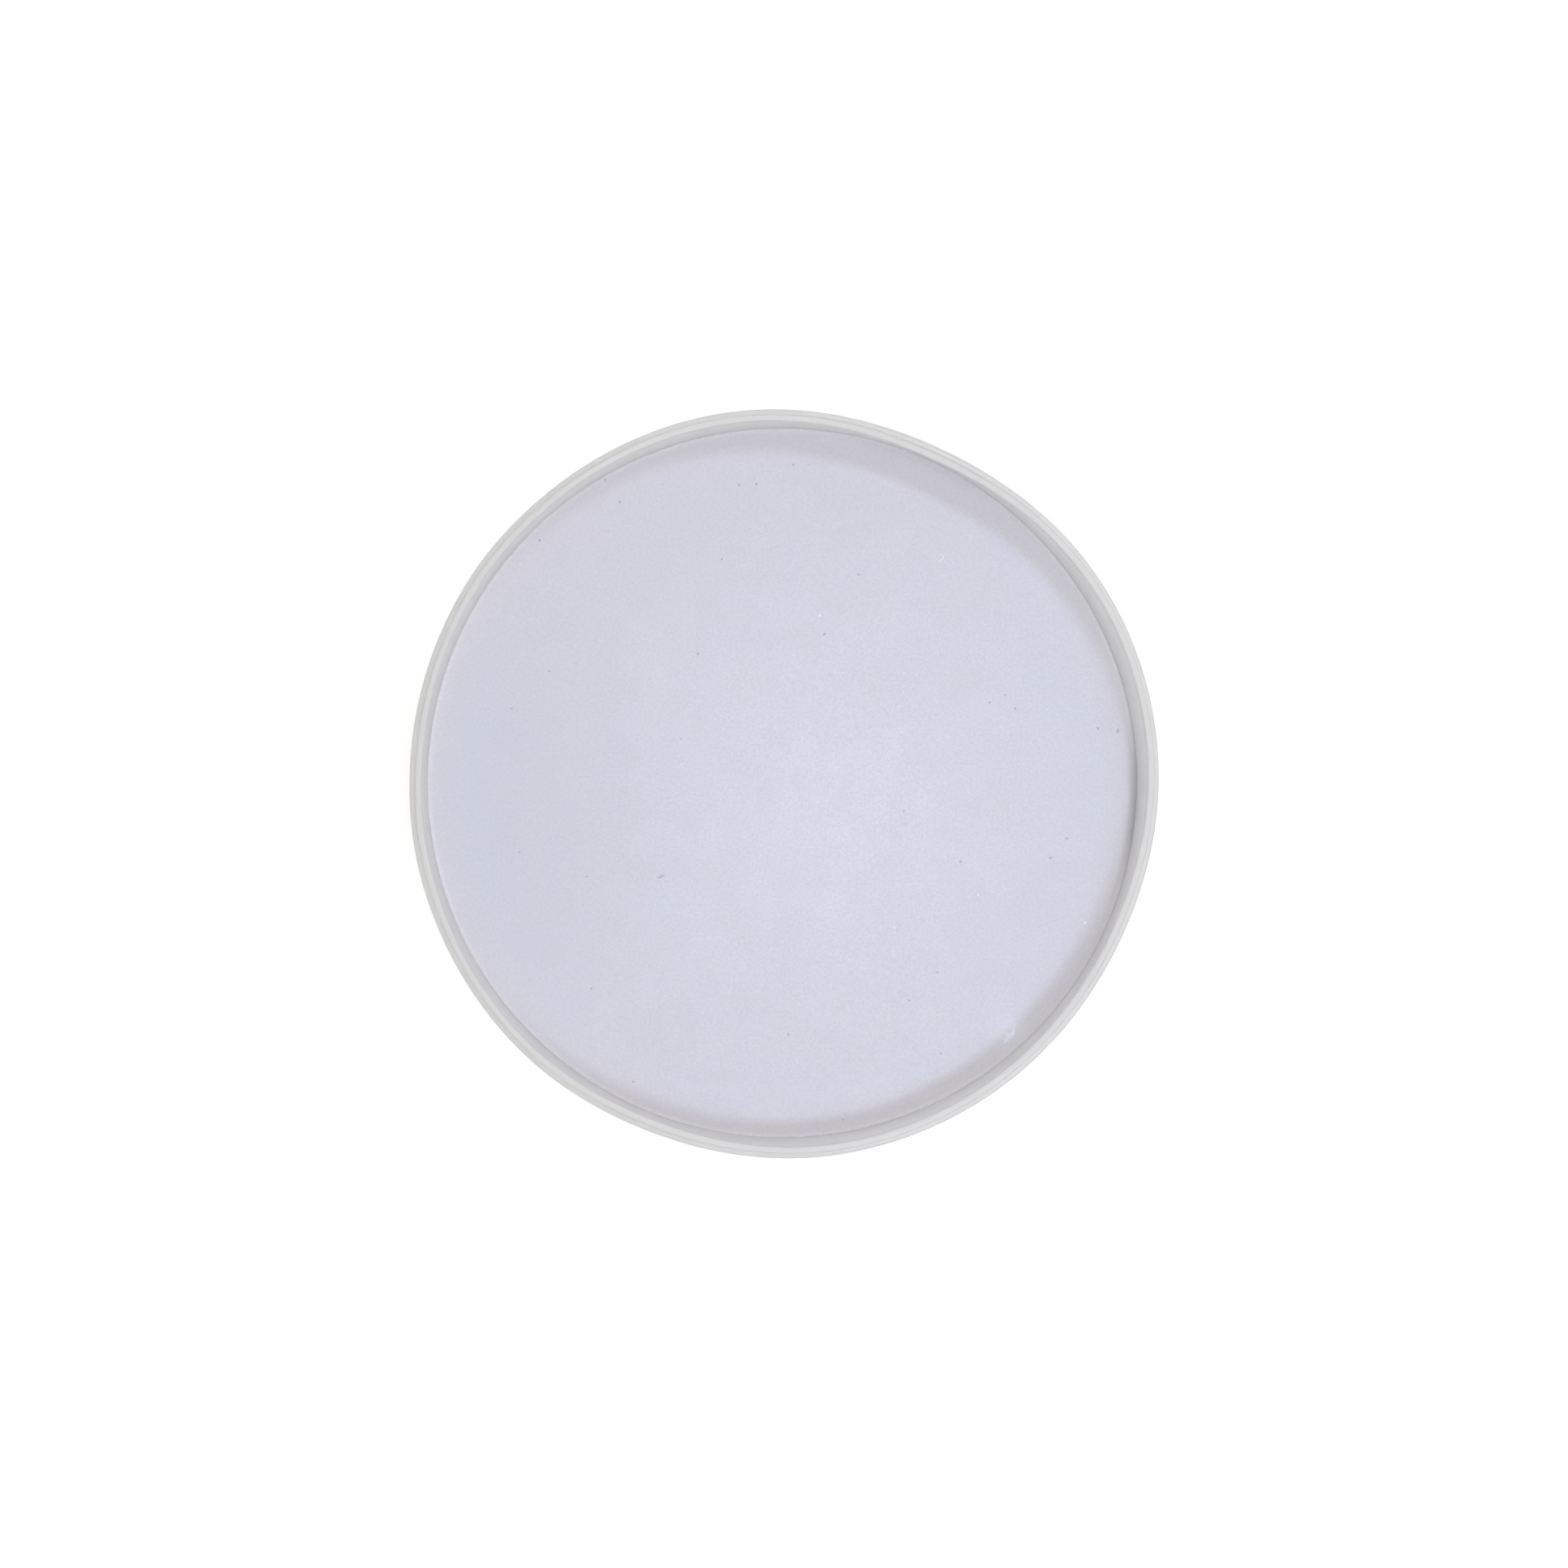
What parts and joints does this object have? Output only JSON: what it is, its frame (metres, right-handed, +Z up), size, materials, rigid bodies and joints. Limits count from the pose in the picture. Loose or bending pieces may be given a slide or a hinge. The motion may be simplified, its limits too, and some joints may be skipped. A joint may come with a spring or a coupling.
{
  "type": "shaving soap puck",
  "caption": "Round puck of hard shaving soap cast in a thin, open, flexible cup with a stepped lip; a wet brush is worked on its flat face to load lather.",
  "frame": {"origin": "on the axis, in the plane of the foot ring that the cup stands on", "axes": "+Z up along the axis, out of the open mouth; +X and +Y are the right and the top of a view from straight above"},
  "size_m": [0.0794, 0.0794, 0.0325],
  "materials": {
    "cup_plastic": "satin, frosted translucent natural polypropylene",
    "soap": "matte, waxy, very pale lavender with fine grain"
  },
  "bodies": {
    "cup_body": {"cup": "cup_plastic"},
    "soap_body": {"soap_puck": "soap"}
  },
  "joints": [
    {"name": "soap_lift", "type": "slide", "parent": "cup_body", "child": "soap_body", "axis": [0, 0, 1], "range_m": [0, 0.034]}
  ]
}
